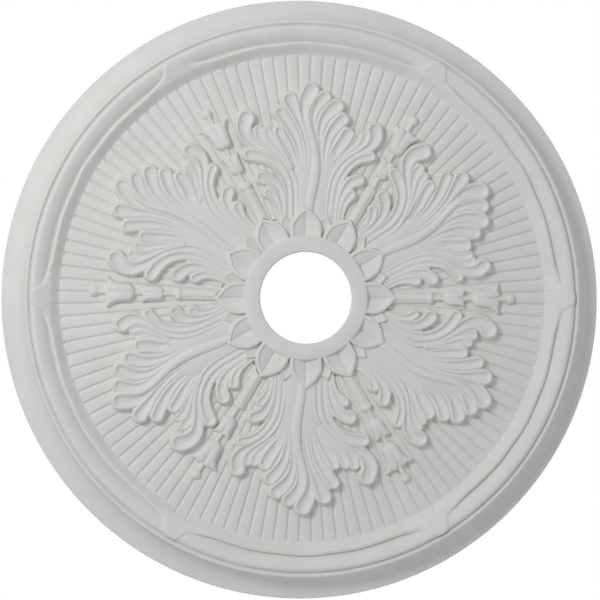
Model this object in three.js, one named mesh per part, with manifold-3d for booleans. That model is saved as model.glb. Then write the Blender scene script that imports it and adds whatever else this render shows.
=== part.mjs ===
// A round ceiling rose cast in one piece, with a plain hole in the middle for a light's fitting.
// Units are millimetres. The rose is as it hangs: its flat back lies at z = 0 and faces up,
// and its carved face looks down. The carving is drawn face up and turned over at the end.
import * as THREE from 'three';
import { mergeVertices } from 'three/addons/utils/BufferGeometryUtils.js';
import Module from 'manifold-3d';

const wasm = await Module();
wasm.setup();

// Plan of the rose
const OUTER_RADIUS = 342.5;
const HOLE_RADIUS = 52;
// How much wider the hole's radius is at the flat back than in the face
const HOLE_FLARE = 3.5;
const SECTORS = 6;
const SECTOR = (2 * Math.PI) / SECTORS;
const DEGREE = Math.PI / 180;

// Bands of the rim, from the outer edge inwards
const COVE_WIDTH = 27.5;
const FILLET_WIDTH = 5.5;
const ROLL_WIDTH = 13.5;
// Turning points of the roll: share of its width in from the fillet, and share of its height
const ROLL_SHOULDERS = [[0.65, 0.87], [0.15, 1]];
const VALLEY_WIDTH = 7;
const RIBBON_WIDTH = 9;
const RIBBON_SLOPE = 3;

// Heights above the flat back
const EDGE_HEIGHT = 4;
const FILLET_HEIGHT = 30.5;
const ROLL_HEIGHT = 33.5;
const CUSP_HEIGHT = 35;
const VALLEY_HEIGHT = 24;
const RIBBON_HEIGHT = 28;
const REED_HEIGHT = 17;
const COLLAR_HEIGHT = 26;
// How far the forms on the field reach down into it
const FORM_SINK = 4;

// Reeds of the sunk field
const REEDS_PER_SECTOR = 20;
const REED_OUTER_DEPTH = 2.2;
const REED_MIDDLE_DEPTH = 1.8;
const REED_INNER_DEPTH = 1;
const REED_FADE = 8;
// The reeds start beside the petals, and outside this second radius they show all the way round
const REED_START_RADIUS = 100;
const REED_FULL_RADIUS = 226;
// Level of the field hidden under the leaves, as a share of the reeds' depth below their crests
const REED_HIDDEN_SHARE = 0.5;
// Half the width in degrees of the strip of field beside each drop, where the reeds run inwards
const DROP_FIELD_HALF = 4.6;

// Ribbon that runs round the field, and its pointed cusps
const RIBBON_BUMP = 1.5;
const RIBBON_EDGE_DROP = 2;
const RIBBON_CREST = 0.45;
const CUSP_REACH = 19.5;
const CUSP_CLEARANCE = 0.4;
// Outline of half a cusp: degrees from its axis, and share of its reach
const CUSP_OUTLINE = [[0, 1], [1.4, 0.95], [2.4, 0.66], [3.8, 0.27]];
// Degrees from a cusp's axis of the sections along the plain stretch, up to its middle
const RIBBON_SECTIONS = [14, 30];

// Collar round the hole and its petals
const COLLAR_WIDTH = 17;
const COLLAR_LEAN = 1;
const PETALS_PER_SECTOR = 2;
const PETAL_LONG = 35;
const PETAL_SHORT = 34;
const PETAL_BORDER = 3.4;
const PETAL_HOLLOW = 4;
const PETAL_DROOP = 1.5;
// Outline of half a petal: share of its length, and share of the half spacing at its foot
const PETAL_OUTLINE = [[-0.03, 0.97], [0.4, 0.97], [0.78, 0.52]];
const PETAL_EDGE_DROP = 0.6;
const PETAL_TIP_HALF = 0.8;
// The narrowest the hollow gets beside the tip, as a share of the half width there
const PETAL_INNER_LEAST = 0.25;
// Places across the blunt tip, as shares of its half width
const PETAL_TIP_PLACES = [1, 0.5, 0.2, 0, -0.2, -0.5, -1];
const SEPAL_LENGTH = 24;
const SEPAL_HEIGHT = 24.2;
const SEPAL_SPREAD = 9;
const SEPAL_FOOT_RISE = 1;
const SEPAL_EDGE_LEAN = 1.2;

// Acanthus leaf, one in each sector, drawn upright with its axis on +Y
const LEAF_LENGTH = 157;
const LEAF_DRAWN_LENGTH = 160;
const LEAF_DRAWN_ROOT = 88;
const LEAF_ROOT_GAP = 19;
const LEAF_RISE = 9.5;
const FINGER_ROOT_HALF = 1.4;
// Share of a finger's hollow that is gone at its root
const HOLLOW_FADE = 0.8;
// The leaf's fingers in order round its edge. Each has its spine from the middle of its rounded
// head to the root, as x and distance from the rose's centre, the half width of its head, its
// height at head and root as shares of the leaf's rise, its hollow (a rib has a negative one),
// and the notch where its edge meets the next finger's.
const FINGERS = [
  {
    spine: [[-43, 117], [-35, 109], [-31, 88]],
    half: 3.8, rises: [0.75, 0.35], hollow: 1.2, steps: 2, notch: [-36, 119],
  },
  {
    spine: [[-48, 135], [-36, 127], [-29, 111], [-27, 88]],
    half: 4.6, rises: [0.8, 0.35], hollow: 1.4, steps: 2, notch: [-31, 132],
  },
  {
    spine: [[-67, 164], [-49, 157], [-30, 142], [-21, 122], [-20, 88]],
    half: 5.6, rises: [0.85, 0.35], hollow: 1.8, steps: 3, notch: [-70, 170],
  },
  {
    spine: [[-73, 205], [-74, 190], [-62, 175], [-35, 160], [-18, 138], [-14, 88]],
    half: 9.5, rises: [1, 0.35], hollow: 2.4, steps: 4, notch: [-44, 177],
  },
  {
    spine: [[-34, 190], [-22, 171], [-12, 148], [-9, 122], [-10.5, 88]],
    half: 6.6, rises: [0.9, 0.35], hollow: 1.8, steps: 3, notch: [-28, 197],
  },
  {
    spine: [[-33, 213], [-18, 192], [-8, 160], [-5, 130], [-8, 88]],
    half: 7, rises: [0.95, 0.35], hollow: 2, steps: 3, notch: [-22, 212],
  },
  {
    spine: [[-23, 230], [-13, 212], [-4, 180], [-2, 135], [-5.5, 88]],
    half: 7.6, rises: [1, 0.35], hollow: 2, steps: 3, notch: [-13, 226],
  },
  {
    spine: [[0, 237], [-6, 222], [-3, 203], [2, 170], [1, 130], [-3, 88]],
    half: 10.5, rises: [1, 0.35], hollow: 2.4, steps: 3, notch: [7, 234],
  },
  {
    spine: [[7, 230], [1, 212], [4, 184], [10, 157], [9, 128], [3, 88]],
    half: 1.4, rises: [1, 0.45], hollow: -1.4, steps: 3, notch: [10, 233],
  },
  {
    spine: [[16, 232], [7, 216], [6.5, 200], [12, 165], [13, 130], [8, 88]],
    half: 6, rises: [0.95, 0.35], hollow: 1.8, steps: 3, notch: [23, 227],
  },
  {
    spine: [[34, 222], [20, 212], [14.5, 198], [15.5, 160], [15, 125], [10.5, 88]],
    half: 7.6, rises: [0.95, 0.35], hollow: 2, steps: 3, notch: [31, 211],
  },
  {
    spine: [[38, 206], [27, 196], [20, 178], [18, 145], [12.5, 88]],
    half: 7.4, rises: [0.9, 0.35], hollow: 2, steps: 3, notch: [38, 197],
  },
  {
    spine: [[45, 189], [36, 173], [26, 155], [19, 125], [14.5, 88]],
    half: 7.2, rises: [0.9, 0.35], hollow: 1.8, steps: 3, notch: [50, 176],
  },
  {
    spine: [[75, 196], [75, 184], [62, 172], [40, 158], [24, 134], [18, 88]],
    half: 8.4, rises: [1, 0.35], hollow: 2.4, steps: 4, notch: [73, 171],
  },
  {
    spine: [[77, 165], [60, 161], [43, 148], [31, 125], [24, 88]],
    half: 5.2, rises: [0.85, 0.35], hollow: 1.8, steps: 3, notch: [40, 137],
  },
  {
    spine: [[60, 136], [46, 131], [36, 115], [30, 88]],
    half: 4.6, rises: [0.8, 0.35], hollow: 1.4, steps: 2, notch: [41, 117],
  },
  {
    spine: [[50, 118], [41, 108], [36, 88]],
    half: 4, rises: [0.75, 0.35], hollow: 1.2, steps: 2,
  },
];
// Directions of the corners round half a finger's head, in degrees back from its tip
const WIDE_HEAD = 8;
const WIDE_HEAD_CORNERS = [85, 40];
const NARROW_HEAD_CORNERS = [65];

// Drop of husks between two leaves, drawn upright with its axis on +Y
const DROP_START = 100;
const DROP_STEM_WIDTH = 10.5;
const DROP_STEM_RISE = 5;
const DROP_LINK_RISE = 4;
const DROP_BAR_RISE = 6;
const DROP_BAR_START = 139;
const DROP_BAR_LENGTH = 8;
const DROP_BAR_WIDTH = 12.6;
const LOWER_HUSK = { start: 159.5, length: 22.5, half: 6.5, flare: 9.4, rise: 7 };
const UPPER_HUSK = { start: 191.5, length: 30.5, half: 8.2, flare: 17, rise: 8 };
// Stations of a husk: share of its length, of its half width and of its rise, up to its mouth
const HUSK_PROFILE = [[0, 0.6, 0.7], [0.15, 1, 1], [0.72, 1.1, 1]];
const HUSK_MOUTH_RISE = 0.8;
const DROP_LINK_WIDTH = 5;
const DROP_STEP = 0.6;
const BALL_RADIUS = 5.5;
const BALL_CENTRE = 236;
// Stations of the ball, all as shares of its radius: place, half width and rise
const BALL_PROFILE = [[-0.4, 1, 1], [0.4, 1, 1], [1, 0.5, 0.5]];

// Fineness of the round forms
const RIM_SEGMENTS = 48;
const COVE_STEPS = 3;
const CURVE_SAMPLES = 100;

// Radii and levels that follow from the sizes above
const filletOuter = OUTER_RADIUS - COVE_WIDTH;
const filletInner = filletOuter - FILLET_WIDTH;
const rollInner = filletInner - ROLL_WIDTH;
const ribbonOuter = rollInner - VALLEY_WIDTH;
const ribbonInner = ribbonOuter - RIBBON_WIDTH;
const fieldRadius = ribbonInner - RIBBON_SLOPE;
const collarRadius = HOLE_RADIUS + COLLAR_WIDTH;
const footHeight = REED_HEIGHT - FORM_SINK;
const ribbonFoot = RIBBON_HEIGHT - RIBBON_EDGE_DROP;
const shoulderRadii = ROLL_SHOULDERS.map(([inwards]) => filletInner - ROLL_WIDTH * inwards);
const rollRadii = [filletInner, ...shoulderRadii.reverse(), ribbonOuter];

// A closed geometry from rings of points that all have the same number of points
function loft(rings) {
  const size = rings[0].length;
  const positions = rings.flat().flatMap((point) => [point.x, point.y, point.z]);
  const indices = [];
  const last = (rings.length - 1) * size;
  for (let here = 0; here < last; here += size) {
    const next = here + size;
    for (let i = 0; i < size; i += 1) {
      const j = (i + 1) % size;
      indices.push(here + i, here + j, next + i, here + j, next + j, next + i);
    }
  }
  for (let i = 1; i < size - 1; i += 1) {
    indices.push(0, i + 1, i, last, last + i, last + i + 1);
  }
  const geometry = new THREE.BufferGeometry();
  geometry.setAttribute('position', new THREE.Float32BufferAttribute(positions, 3));
  geometry.setIndex(indices);
  return geometry;
}

// A geometry as a solid for joining, with its shared points merged and its faces outwards
function toSolid(source) {
  const geometry = source.clone();
  geometry.deleteAttribute('normal');
  geometry.deleteAttribute('uv');
  const merged = mergeVertices(geometry);
  const triangles = new Uint32Array(merged.index.array);
  const points = new Float32Array(merged.attributes.position.array);
  const make = () => {
    const mesh = new wasm.Mesh({ numProp: 3, vertProperties: points, triVerts: triangles });
    return new wasm.Manifold(mesh);
  };
  const solid = make();
  if (solid.volume() > 0) return solid;
  for (let i = 0; i < triangles.length; i += 3) {
    [triangles[i], triangles[i + 1]] = [triangles[i + 1], triangles[i]];
  }
  return make();
}

// The same geometry turned to stand in every sector, starting at a given angle
function inEverySector(geometry, startAngle) {
  const solids = [];
  for (let sector = 0; sector < SECTORS; sector += 1) {
    solids.push(toSolid(geometry.clone().rotateZ(startAngle + sector * SECTOR)));
  }
  return solids;
}

function between(from, to, share) {
  return from + (to - from) * share;
}

// A point from a radius, an angle measured from the axis of a cusp, and a height
function polar(radius, angle, height) {
  return new THREE.Vector3(radius * Math.cos(angle), radius * Math.sin(angle), height);
}

// Height of the rim's plain profile at a radius inside its fillet
function rollHeightAt(radius) {
  const profile = [
    [ribbonOuter, VALLEY_HEIGHT],
    ...ROLL_SHOULDERS.map(([inwards, share]) => [
      filletInner - ROLL_WIDTH * inwards,
      between(VALLEY_HEIGHT, ROLL_HEIGHT, share),
    ]),
    [filletInner, FILLET_HEIGHT],
  ];
  const next = profile.findIndex(([outer]) => outer >= radius);
  if (next <= 0) return next === 0 ? VALLEY_HEIGHT : FILLET_HEIGHT;
  const [fromRadius, fromHeight] = profile[next - 1];
  const [toRadius, toHeight] = profile[next];
  return between(fromHeight, toHeight, (radius - fromRadius) / (toRadius - fromRadius));
}

// A plain round ring of points
function circle(radius, height) {
  const ring = [];
  for (let i = 0; i < RIM_SEGMENTS; i += 1) {
    const angle = (i / RIM_SEGMENTS) * 2 * Math.PI;
    ring.push({ angle, point: polar(radius, angle, height) });
  }
  return ring;
}

// Directions of the ribbon's sections, each with its share of the cusp's reach and its bump
function ribbonSections() {
  const plain = RIBBON_SECTIONS.map((degrees, i) => ({
    angle: (degrees / RIBBON_SECTIONS[RIBBON_SECTIONS.length - 1]) * (SECTOR / 2),
    reach: 0,
    bump: i === RIBBON_SECTIONS.length - 1 ? RIBBON_BUMP : 0,
  }));
  const cusp = CUSP_OUTLINE.map(([degrees, reach]) => ({ angle: degrees * DEGREE, reach, bump: 0 }));
  const half = [...cusp, ...plain];
  const mirrored = half.slice(1, -1).reverse().map((entry) => ({ ...entry, angle: SECTOR - entry.angle }));
  const sections = [];
  for (let k = 0; k < SECTORS; k += 1) {
    sections.push(...[...half, ...mirrored].map((entry) => ({ ...entry, angle: entry.angle + k * SECTOR })));
  }
  return sections;
}

// A ring of the rim's roll, pushed outwards where a cusp of the ribbon covers it
function rollRing(radius, order) {
  return ribbonSections().map(({ angle, reach, bump }) => {
    const cuspEdge = ribbonOuter + reach * CUSP_REACH + bump + CUSP_CLEARANCE * order;
    const place = Math.max(radius, cuspEdge);
    return { angle, point: polar(place, angle, rollHeightAt(place)) };
  });
}

// A ring of the ribbon, a share of its width in from its outer edge and a drop below its crest
function ribbonRing(inwards, drop) {
  return ribbonSections().map(({ angle, reach, bump }) => {
    const radius = ribbonOuter + reach * CUSP_REACH + bump - inwards * RIBBON_WIDTH;
    return { angle, point: polar(radius, angle, between(RIBBON_HEIGHT, CUSP_HEIGHT, reach) - drop) };
  });
}

// A ring across the reeds, high on each reed and low in each groove. Where it lies under the
// leaves the reeds are left out, and it is only as fine as the rim.
function reedRing(radius, depth, underLeaves) {
  const count = SECTORS * REEDS_PER_SECTOR * 2;
  const coarse = count / RIM_SEGMENTS;
  const ring = [];
  for (let i = 0; i < count; i += 1) {
    const angle = (i / count) * 2 * Math.PI;
    const fromDrop = Math.abs(angle - Math.round(angle / SECTOR) * SECTOR);
    const hidden = underLeaves && fromDrop > DROP_FIELD_HALF * DEGREE;
    const height = REED_HEIGHT - (hidden ? REED_HIDDEN_SHARE : i % 2) * depth;
    if (!hidden || i % coarse === 0) ring.push({ angle, point: polar(radius, angle, height) });
  }
  return ring;
}

// Rim, ribbon, reeded field and collar as one closed skin
function roundBody() {
  const coveRing = (share) => {
    const angle = share * (Math.PI / 2);
    const radius = filletOuter + COVE_WIDTH * (1 - Math.sin(angle));
    return circle(radius, between(EDGE_HEIGHT, FILLET_HEIGHT, 1 - Math.cos(angle)));
  };
  return skin([
    circle(HOLE_RADIUS + HOLE_FLARE, 0),
    circle(OUTER_RADIUS, 0),
    ...Array.from({ length: COVE_STEPS + 1 }, (_, step) => coveRing(step / COVE_STEPS)),
    ...rollRadii.map((radius, i) => rollRing(radius, rollRadii.length - i)),
    ribbonRing(0, RIBBON_EDGE_DROP),
    ribbonRing(RIBBON_CREST, 0),
    ribbonSections().map(({ angle }) => ({ angle, point: polar(ribbonInner, angle, ribbonFoot) })),
    reedRing(fieldRadius, REED_OUTER_DEPTH, false),
    reedRing(REED_FULL_RADIUS, REED_MIDDLE_DEPTH, false),
    reedRing(REED_FULL_RADIUS - REED_FADE, REED_MIDDLE_DEPTH, true),
    reedRing(REED_START_RADIUS, REED_INNER_DEPTH, true),
    circle(REED_START_RADIUS - REED_FADE, REED_HEIGHT),
    circle(collarRadius + COLLAR_LEAN, REED_HEIGHT),
    circle(collarRadius, COLLAR_HEIGHT),
    circle(HOLE_RADIUS, COLLAR_HEIGHT),
  ]);
}

// A closed surface through rings that run all the way round, which may differ in their points
function skin(rings) {
  const triangles = [];
  rings.forEach((ring, i) => {
    const other = rings[(i + 1) % rings.length];
    const angleOf = (list, k) => (k < list.length ? list[k].angle : 2 * Math.PI);
    const pointOf = (list, k) => list[k % list.length].point;
    let a = 0;
    let b = 0;
    while (a < ring.length || b < other.length) {
      const ringIsNext = angleOf(ring, a + 1) <= angleOf(other, b + 1);
      const alongRing = b === other.length || (a < ring.length && ringIsNext);
      const third = alongRing ? pointOf(ring, a + 1) : pointOf(other, b + 1);
      triangles.push(pointOf(ring, a), third, pointOf(other, b));
      if (alongRing) a += 1;
      else b += 1;
    }
  });
  return new THREE.BufferGeometry().setFromPoints(triangles);
}

// One petal of the collar, with a raised border round two hollow facets, its axis on +X
function petal(length) {
  const spacing = Math.PI / (SECTORS * PETALS_PER_SECTOR);
  const foot = collarRadius * Math.tan(spacing);
  const top = (share) => COLLAR_HEIGHT - PETAL_DROOP * share;
  const rings = PETAL_OUTLINE.map(([along, wide]) => {
    const x = collarRadius + along * length;
    const half = foot * wide;
    const inner = Math.max(half - PETAL_BORDER, half * PETAL_INNER_LEAST);
    const hollow = PETAL_HOLLOW * Math.min(1, inner / (foot - PETAL_BORDER));
    return [
      new THREE.Vector3(x, half, footHeight),
      new THREE.Vector3(x, half, top(along) - PETAL_EDGE_DROP),
      new THREE.Vector3(x, inner, top(along)),
      new THREE.Vector3(x, 0, top(along) - hollow),
      new THREE.Vector3(x, -inner, top(along)),
      new THREE.Vector3(x, -half, top(along) - PETAL_EDGE_DROP),
      new THREE.Vector3(x, -half, footHeight),
    ];
  });
  const tip = collarRadius + length;
  const end = PETAL_TIP_PLACES.map((place) => {
    const height = Math.abs(place) === 1 ? footHeight : top(1) - PETAL_EDGE_DROP;
    return new THREE.Vector3(tip, place * PETAL_TIP_HALF, height);
  });
  return loft([...rings, end]);
}

// One sepal tip that shows between two petals, its axis on +X
function sepal() {
  const edge = collarRadius + SEPAL_LENGTH;
  return loft([-1, 1].map((side) => {
    const angle = side * (SEPAL_SPREAD / edge);
    return [
      polar(collarRadius, angle, footHeight),
      polar(collarRadius, angle, REED_HEIGHT + SEPAL_FOOT_RISE),
      polar(edge, angle, SEPAL_HEIGHT),
      polar(edge + SEPAL_EDGE_LEAN, angle, footHeight),
    ];
  }));
}

// A finger's spine as a curve, with its half width, edge height and hollow along it
function makeFinger({ spine, half, rises, hollow, steps }) {
  const curve = new THREE.CatmullRomCurve3(spine.map(leafPoint), false, 'centripetal');
  return {
    curve,
    steps,
    halfAt: (share) => between(half, FINGER_ROOT_HALF, share),
    edgeHeight: (share) => REED_HEIGHT + LEAF_RISE * between(rises[0], rises[1], share),
    hollowAt: (share) => hollow * (1 - HOLLOW_FADE * share),
  };
}

// A drawn point of the leaf at its place and scale on the rose
function leafPoint([x, y]) {
  const scale = LEAF_LENGTH / LEAF_DRAWN_LENGTH;
  return new THREE.Vector3(x * scale, collarRadius + LEAF_ROOT_GAP + (y - LEAF_DRAWN_ROOT) * scale, 0);
}

// Share of a curve's length at which it passes nearest to a point
function nearestShare(curve, point) {
  let best = 0;
  for (let i = 0; i <= CURVE_SAMPLES; i += 1) {
    const share = i / CURVE_SAMPLES;
    if (curve.getPointAt(share).distanceTo(point) < curve.getPointAt(best).distanceTo(point)) best = share;
  }
  return best;
}

// The ridge that two neighbouring fingers share, from the root out to their notch
function sharedRidge(left, right, notch) {
  const leftStart = nearestShare(left.curve, notch);
  const rightStart = nearestShare(right.curve, notch);
  const sharedLength = 1 - Math.min(leftStart, rightStart);
  const spans = Math.max(2, Math.round(sharedLength * Math.max(left.steps, right.steps)));
  const points = [];
  for (let span = 0; span <= spans; span += 1) {
    const fromNotch = 1 - span / spans;
    const leftShare = between(leftStart, 1, fromNotch);
    const rightShare = between(rightStart, 1, fromNotch);
    const leftHalf = left.halfAt(leftShare);
    const middle = left.curve.getPointAt(leftShare)
      .lerp(right.curve.getPointAt(rightShare), leftHalf / (leftHalf + right.halfAt(rightShare)));
    const place = span === spans ? notch.clone() : middle;
    const top = place.setZ((left.edgeHeight(leftShare) + right.edgeHeight(rightShare)) / 2);
    points.push({ top, floor: top.clone().setZ(footHeight) });
  }
  return { points, leftStart, rightStart };
}

// The free edge of a finger from a share of its spine out to the middle of its rounded head.
// Side is 1 to the left of a finger seen from its root, and -1 to its right.
function freeEdge(finger, side, fromShare) {
  const edge = [];
  const add = (centre, direction, reach, height) => {
    const top = centre.clone().addScaledVector(direction, reach).setZ(height);
    const floor = top.clone().setZ(footHeight);
    edge.push({ top, floor });
  };
  const sideways = (share) => {
    const along = finger.curve.getTangentAt(share);
    return new THREE.Vector3(along.y, -along.x, 0).multiplyScalar(side);
  };
  const firstStep = fromShare === 1 ? finger.steps : Math.ceil(fromShare * finger.steps) - 1;
  for (let step = firstStep; step >= 1; step -= 1) {
    const share = step / finger.steps;
    add(finger.curve.getPointAt(share), sideways(share), finger.halfAt(share), finger.edgeHeight(share));
  }
  const tipward = finger.curve.getTangentAt(0).negate();
  const corners = finger.halfAt(0) > WIDE_HEAD ? WIDE_HEAD_CORNERS : NARROW_HEAD_CORNERS;
  for (const corner of side > 0 ? [...corners, 0] : corners) {
    const angle = corner * DEGREE;
    const direction = tipward.clone().multiplyScalar(Math.cos(angle));
    direction.addScaledVector(sideways(0), Math.sin(angle));
    add(finger.curve.getPointAt(0), direction, finger.halfAt(0), finger.edgeHeight(0));
  }
  return edge;
}

// Triangles that fill the strip between two lines of points, the first on the left
function zip(left, right) {
  const shares = (line) => {
    const lengths = [0];
    for (let i = 1; i < line.length; i += 1) lengths.push(lengths[i - 1] + line[i].distanceTo(line[i - 1]));
    return lengths.map((length) => length / lengths[line.length - 1]);
  };
  const leftShares = shares(left);
  const rightShares = shares(right);
  const triangles = [];
  let i = 0;
  let j = 0;
  while (i < left.length - 1 || j < right.length - 1) {
    const onLeft = j === right.length - 1 || (i < left.length - 1 && leftShares[i + 1] < rightShares[j + 1]);
    triangles.push([left[i], right[j], onLeft ? left[i + 1] : right[j + 1]]);
    if (onLeft) i += 1;
    else j += 1;
  }
  return triangles;
}

// One whole leaf: hollow fingers that meet in shared ridges, with steep walls round the outline
function leaf() {
  const fingers = FINGERS.map(makeFinger);
  const ridges = fingers.slice(1).map((right, i) => {
    const notch = leafPoint(FINGERS[i].notch);
    return sharedRidge(fingers[i], right, notch);
  });
  const triangles = [];
  const outline = [];
  const rootLine = [];
  fingers.forEach((finger, i) => {
    const before = ridges[i - 1];
    const after = ridges[i];
    const leftEdge = freeEdge(finger, 1, before ? before.rightStart : 1);
    const rightEdge = freeEdge(finger, -1, after ? after.leftStart : 1);
    const tip = leftEdge[leftEdge.length - 1];
    const leftSide = [...(before ? before.points : []), ...leftEdge];
    const rightSide = [...(after ? after.points : []), ...rightEdge, tip];
    const spine = [];
    for (let step = finger.steps; step >= 0; step -= 1) {
      const share = step / finger.steps;
      spine.push(finger.curve.getPointAt(share).setZ(finger.edgeHeight(share) - finger.hollowAt(share)));
    }
    triangles.push(...zip(leftSide.map(({ top }) => top), spine));
    triangles.push(...zip(spine, rightSide.map(({ top }) => top)));
    const root = spine[0];
    const notch = after ? after.points.slice(-1) : [];
    outline.push(...leftEdge, ...rightEdge.slice().reverse(), ...notch);
    if (before) rootLine.push(before.points[0]);
    rootLine.push({ top: root, floor: root.clone().setZ(footHeight) });
  });
  outline.push(...rootLine.reverse());
  outline.forEach((here, i) => {
    const next = outline[(i + 1) % outline.length];
    triangles.push([here.top, next.top, next.floor], [here.top, next.floor, here.floor]);
  });
  const floor = outline.map(({ floor: point }) => new THREE.Vector2(point.x, point.y));
  for (const [a, b, c] of THREE.ShapeUtils.triangulateShape(floor, [])) {
    triangles.push([outline[a].floor, outline[c].floor, outline[b].floor]);
  }
  return new THREE.BufferGeometry().setFromPoints(triangles.flat());
}

// Stations of one husk, a bell with a rounded foot that flares to a wide mouth
function huskStations({ start, length, half, flare, rise }) {
  const body = HUSK_PROFILE.map(([along, wide, high]) => [start + length * along, half * wide, rise * high]);
  return [...body, [start + length, flare, rise * HUSK_MOUTH_RISE]];
}

// Stations of a bar with square ends
function barStations(start, end, width, rise) {
  return [[start, width / 2, rise], [end, width / 2, rise]];
}

// The whole drop along +Y, one form with a flat top: stem, bar, links, two husks and the ball.
// Each station is a distance from the rose's centre, a half width and a rise above the reeds.
function drop() {
  const barEnd = DROP_BAR_START + DROP_BAR_LENGTH;
  const linkAfter = (end) => [end + DROP_STEP, DROP_LINK_WIDTH / 2, DROP_LINK_RISE];
  const stations = [
    ...barStations(DROP_START, DROP_BAR_START - DROP_STEP, DROP_STEM_WIDTH, DROP_STEM_RISE),
    ...barStations(DROP_BAR_START, barEnd, DROP_BAR_WIDTH, DROP_BAR_RISE),
    linkAfter(barEnd),
    ...huskStations(LOWER_HUSK),
    linkAfter(LOWER_HUSK.start + LOWER_HUSK.length),
    ...huskStations(UPPER_HUSK),
    linkAfter(UPPER_HUSK.start + UPPER_HUSK.length),
    [BALL_CENTRE - BALL_RADIUS, DROP_LINK_WIDTH / 2, DROP_LINK_RISE],
    ...BALL_PROFILE.map(([along, wide, high]) => [
      BALL_CENTRE + BALL_RADIUS * along,
      BALL_RADIUS * wide,
      BALL_RADIUS * high,
    ]),
  ];
  return loft(stations.map(([y, half, rise]) => [
    new THREE.Vector3(half, y, footHeight),
    new THREE.Vector3(half, y, REED_HEIGHT + rise),
    new THREE.Vector3(-half, y, REED_HEIGHT + rise),
    new THREE.Vector3(-half, y, footHeight),
  ]));
}

function buildRose() {
  const upright = -Math.PI / 2;
  const petalPitch = SECTOR / PETALS_PER_SECTOR;
  const solids = [toSolid(roundBody())];
  for (let i = 0; i < PETALS_PER_SECTOR; i += 1) {
    const length = i === 0 ? PETAL_LONG : PETAL_SHORT;
    solids.push(...inEverySector(petal(length), i * petalPitch));
    solids.push(...inEverySector(sepal(), (i + 0.5) * petalPitch));
  }
  solids.push(...inEverySector(leaf(), upright + SECTOR / 2));
  solids.push(...inEverySector(drop(), upright));
  return wasm.Manifold.union(solids);
}

function toGeometry(solid) {
  const mesh = solid.getMesh();
  const geometry = new THREE.BufferGeometry();
  geometry.setAttribute('position', new THREE.Float32BufferAttribute(mesh.vertProperties, 3));
  geometry.setIndex(new THREE.BufferAttribute(mesh.triVerts, 1));
  geometry.computeVertexNormals();
  return geometry;
}

const castFoam = new THREE.MeshStandardMaterial({ color: 0xd9d9d7, roughness: 0.75, metalness: 0 });
const rose = new THREE.Mesh(toGeometry(buildRose()), castFoam);
rose.name = 'ceiling_rose';

const group = new THREE.Group();
group.add(rose);
group.rotation.x = Math.PI;

export default group;
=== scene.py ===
"""A round cast ceiling rose with acanthus leaves, husk drops, reeds and a cusped ribbon.

The carving is laid out face up in millimetres, with x to the right, y upwards and the height
above the flat back towards the viewer, and each finished mesh is then turned over and hung.
"""
import logging
import math
from dataclasses import dataclass
from enum import Enum
from typing import Sequence, Union

import bmesh
import bpy
import numpy as np
from mathutils import Matrix, Vector


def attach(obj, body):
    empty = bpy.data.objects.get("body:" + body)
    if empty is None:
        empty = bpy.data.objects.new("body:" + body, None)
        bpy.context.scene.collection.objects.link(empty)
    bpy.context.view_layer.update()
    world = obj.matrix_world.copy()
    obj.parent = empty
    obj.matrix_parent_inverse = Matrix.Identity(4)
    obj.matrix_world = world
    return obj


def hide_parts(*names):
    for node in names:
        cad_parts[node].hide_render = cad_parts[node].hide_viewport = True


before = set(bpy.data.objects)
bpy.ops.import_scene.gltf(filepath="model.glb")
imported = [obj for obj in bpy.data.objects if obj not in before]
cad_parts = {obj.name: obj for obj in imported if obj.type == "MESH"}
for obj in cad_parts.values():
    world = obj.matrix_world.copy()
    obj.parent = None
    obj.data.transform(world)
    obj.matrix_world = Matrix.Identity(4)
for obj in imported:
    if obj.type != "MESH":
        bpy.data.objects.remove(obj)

log = logging.getLogger("ceiling_rose")

Number = Union[int, float]
Point = tuple[float, float]
Colour = tuple[float, float, float]
# Place of a stroke's middle and half width, from its tip to its root
LinePlace = tuple[float, float, float]
# The same with the height of the edge
Station = tuple[float, float, float, float]

MILLIMETRE = 0.001
SECTORS = 6
OUTER_RADIUS = 342.5
HOLE_RADIUS = 52.0
HOLE_FLARE = 3.5
REED_LEVEL = 17.0
BURIED_LEVEL = 13.0
# Distances in metres within which points are joined
PATTERN_WELD = 0.00001
PIECE_WELD = 0.000005


class Stroke(Enum):
    """How a carved stroke is cut across its width."""

    SPOON = "spoon"
    RIB = "rib"


# Shader building


class Wire:
    """A node socket that takes part in ordinary arithmetic."""

    def __init__(self, graph: "Graph", socket: bpy.types.NodeSocket) -> None:
        """Wrap one output socket.

        Args:
            graph: The material graph that the socket belongs to.
            socket: The output socket.
        """
        self.graph = graph
        self.socket = socket

    def _math(self, operation: str, first: "Wire | Number", second: "Wire | Number") -> "Wire":
        """Add one Math node.

        Args:
            operation: The Math node's operation.
            first: The first operand.
            second: The second operand.

        Returns:
            The node's value.
        """
        return self.graph.node("ShaderNodeMath", {"operation": operation}, {0: first, 1: second})

    def __add__(self, other: "Wire | Number") -> "Wire":
        """Sum of two values."""
        return self._math("ADD", self, other)

    __radd__ = __add__

    def __sub__(self, other: "Wire | Number") -> "Wire":
        """Difference of two values."""
        return self._math("SUBTRACT", self, other)

    def __rsub__(self, other: Number) -> "Wire":
        """Difference with the number first."""
        return self._math("SUBTRACT", other, self)

    def __mul__(self, other: "Wire | Number") -> "Wire":
        """Product of two values."""
        return self._math("MULTIPLY", self, other)

    __rmul__ = __mul__


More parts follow.
